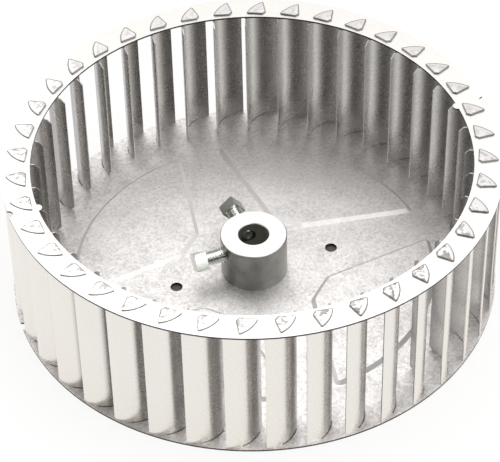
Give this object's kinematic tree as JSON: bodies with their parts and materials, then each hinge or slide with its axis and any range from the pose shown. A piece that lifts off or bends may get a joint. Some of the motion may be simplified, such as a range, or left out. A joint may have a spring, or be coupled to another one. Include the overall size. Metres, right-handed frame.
{
  "type": "blower wheel",
  "caption": "Centrifugal blower wheel: pressed backplate and flat inlet ring joined by forward-curved sheet blades, and a turned hub with radial setscrews that clamp its shaft.",
  "frame": {"origin": "on the wheel's axis, level with the lowest surface: the undersides of the tongues folded beneath the backplate and of the hub's swaged rim", "axes": "+Z along the axis from the backplate to the inlet ring, +X through one jig hole, one lug of the ring and one notch in each of ring and backplate"},
  "size_m": [0.254, 0.254, 0.0818],
  "materials": {
    "backplate_sheet": "zinc-aluminium coated sheet, satin",
    "ring_sheet": "zinc-aluminium coated sheet, satin",
    "blade_sheet": "zinc-aluminium coated sheet, satin",
    "hub_steel": "turned steel, thin zinc plate",
    "screw_steel": "bright zinc plate"
  },
  "bodies": {
    "wheel": {"backplate": "backplate_sheet", "inlet_ring": "ring_sheet", "hub": "hub_steel", "blade_01": "blade_sheet", "blade_02": "blade_sheet", "blade_03": "blade_sheet", "blade_04": "blade_sheet", "blade_05": "blade_sheet", "blade_06": "blade_sheet", "blade_07": "blade_sheet", "blade_08": "blade_sheet", "blade_09": "blade_sheet", "blade_10": "blade_sheet", "blade_11": "blade_sheet", "blade_12": "blade_sheet", "blade_13": "blade_sheet", "blade_14": "blade_sheet", "blade_15": "blade_sheet", "blade_16": "blade_sheet", "blade_17": "blade_sheet", "blade_18": "blade_sheet", "blade_19": "blade_sheet", "blade_20": "blade_sheet", "blade_21": "blade_sheet", "blade_22": "blade_sheet", "blade_23": "blade_sheet", "blade_24": "blade_sheet", "blade_25": "blade_sheet", "blade_26": "blade_sheet", "blade_27": "blade_sheet", "blade_28": "blade_sheet", "blade_29": "blade_sheet", "blade_30": "blade_sheet", "blade_31": "blade_sheet", "blade_32": "blade_sheet", "blade_33": "blade_sheet", "blade_34": "blade_sheet", "blade_35": "blade_sheet", "blade_36": "blade_sheet", "blade_37": "blade_sheet", "blade_38": "blade_sheet", "blade_39": "blade_sheet", "blade_40": "blade_sheet"},
    "setscrew_1": {"setscrew_1": "screw_steel"},
    "setscrew_2": {"setscrew_2": "screw_steel"}
  },
  "joints": [
    {"name": "setscrew_1_slide", "type": "slide", "parent": "wheel", "child": "setscrew_1", "axis": [-0.9983, -0.0576, 0], "range_m": [-0.0038, 0.008]},
    {"name": "setscrew_2_slide", "type": "slide", "parent": "wheel", "child": "setscrew_2", "axis": [-0.0576, 0.9983, 0], "range_m": [-0.0038, 0.008]}
  ]
}
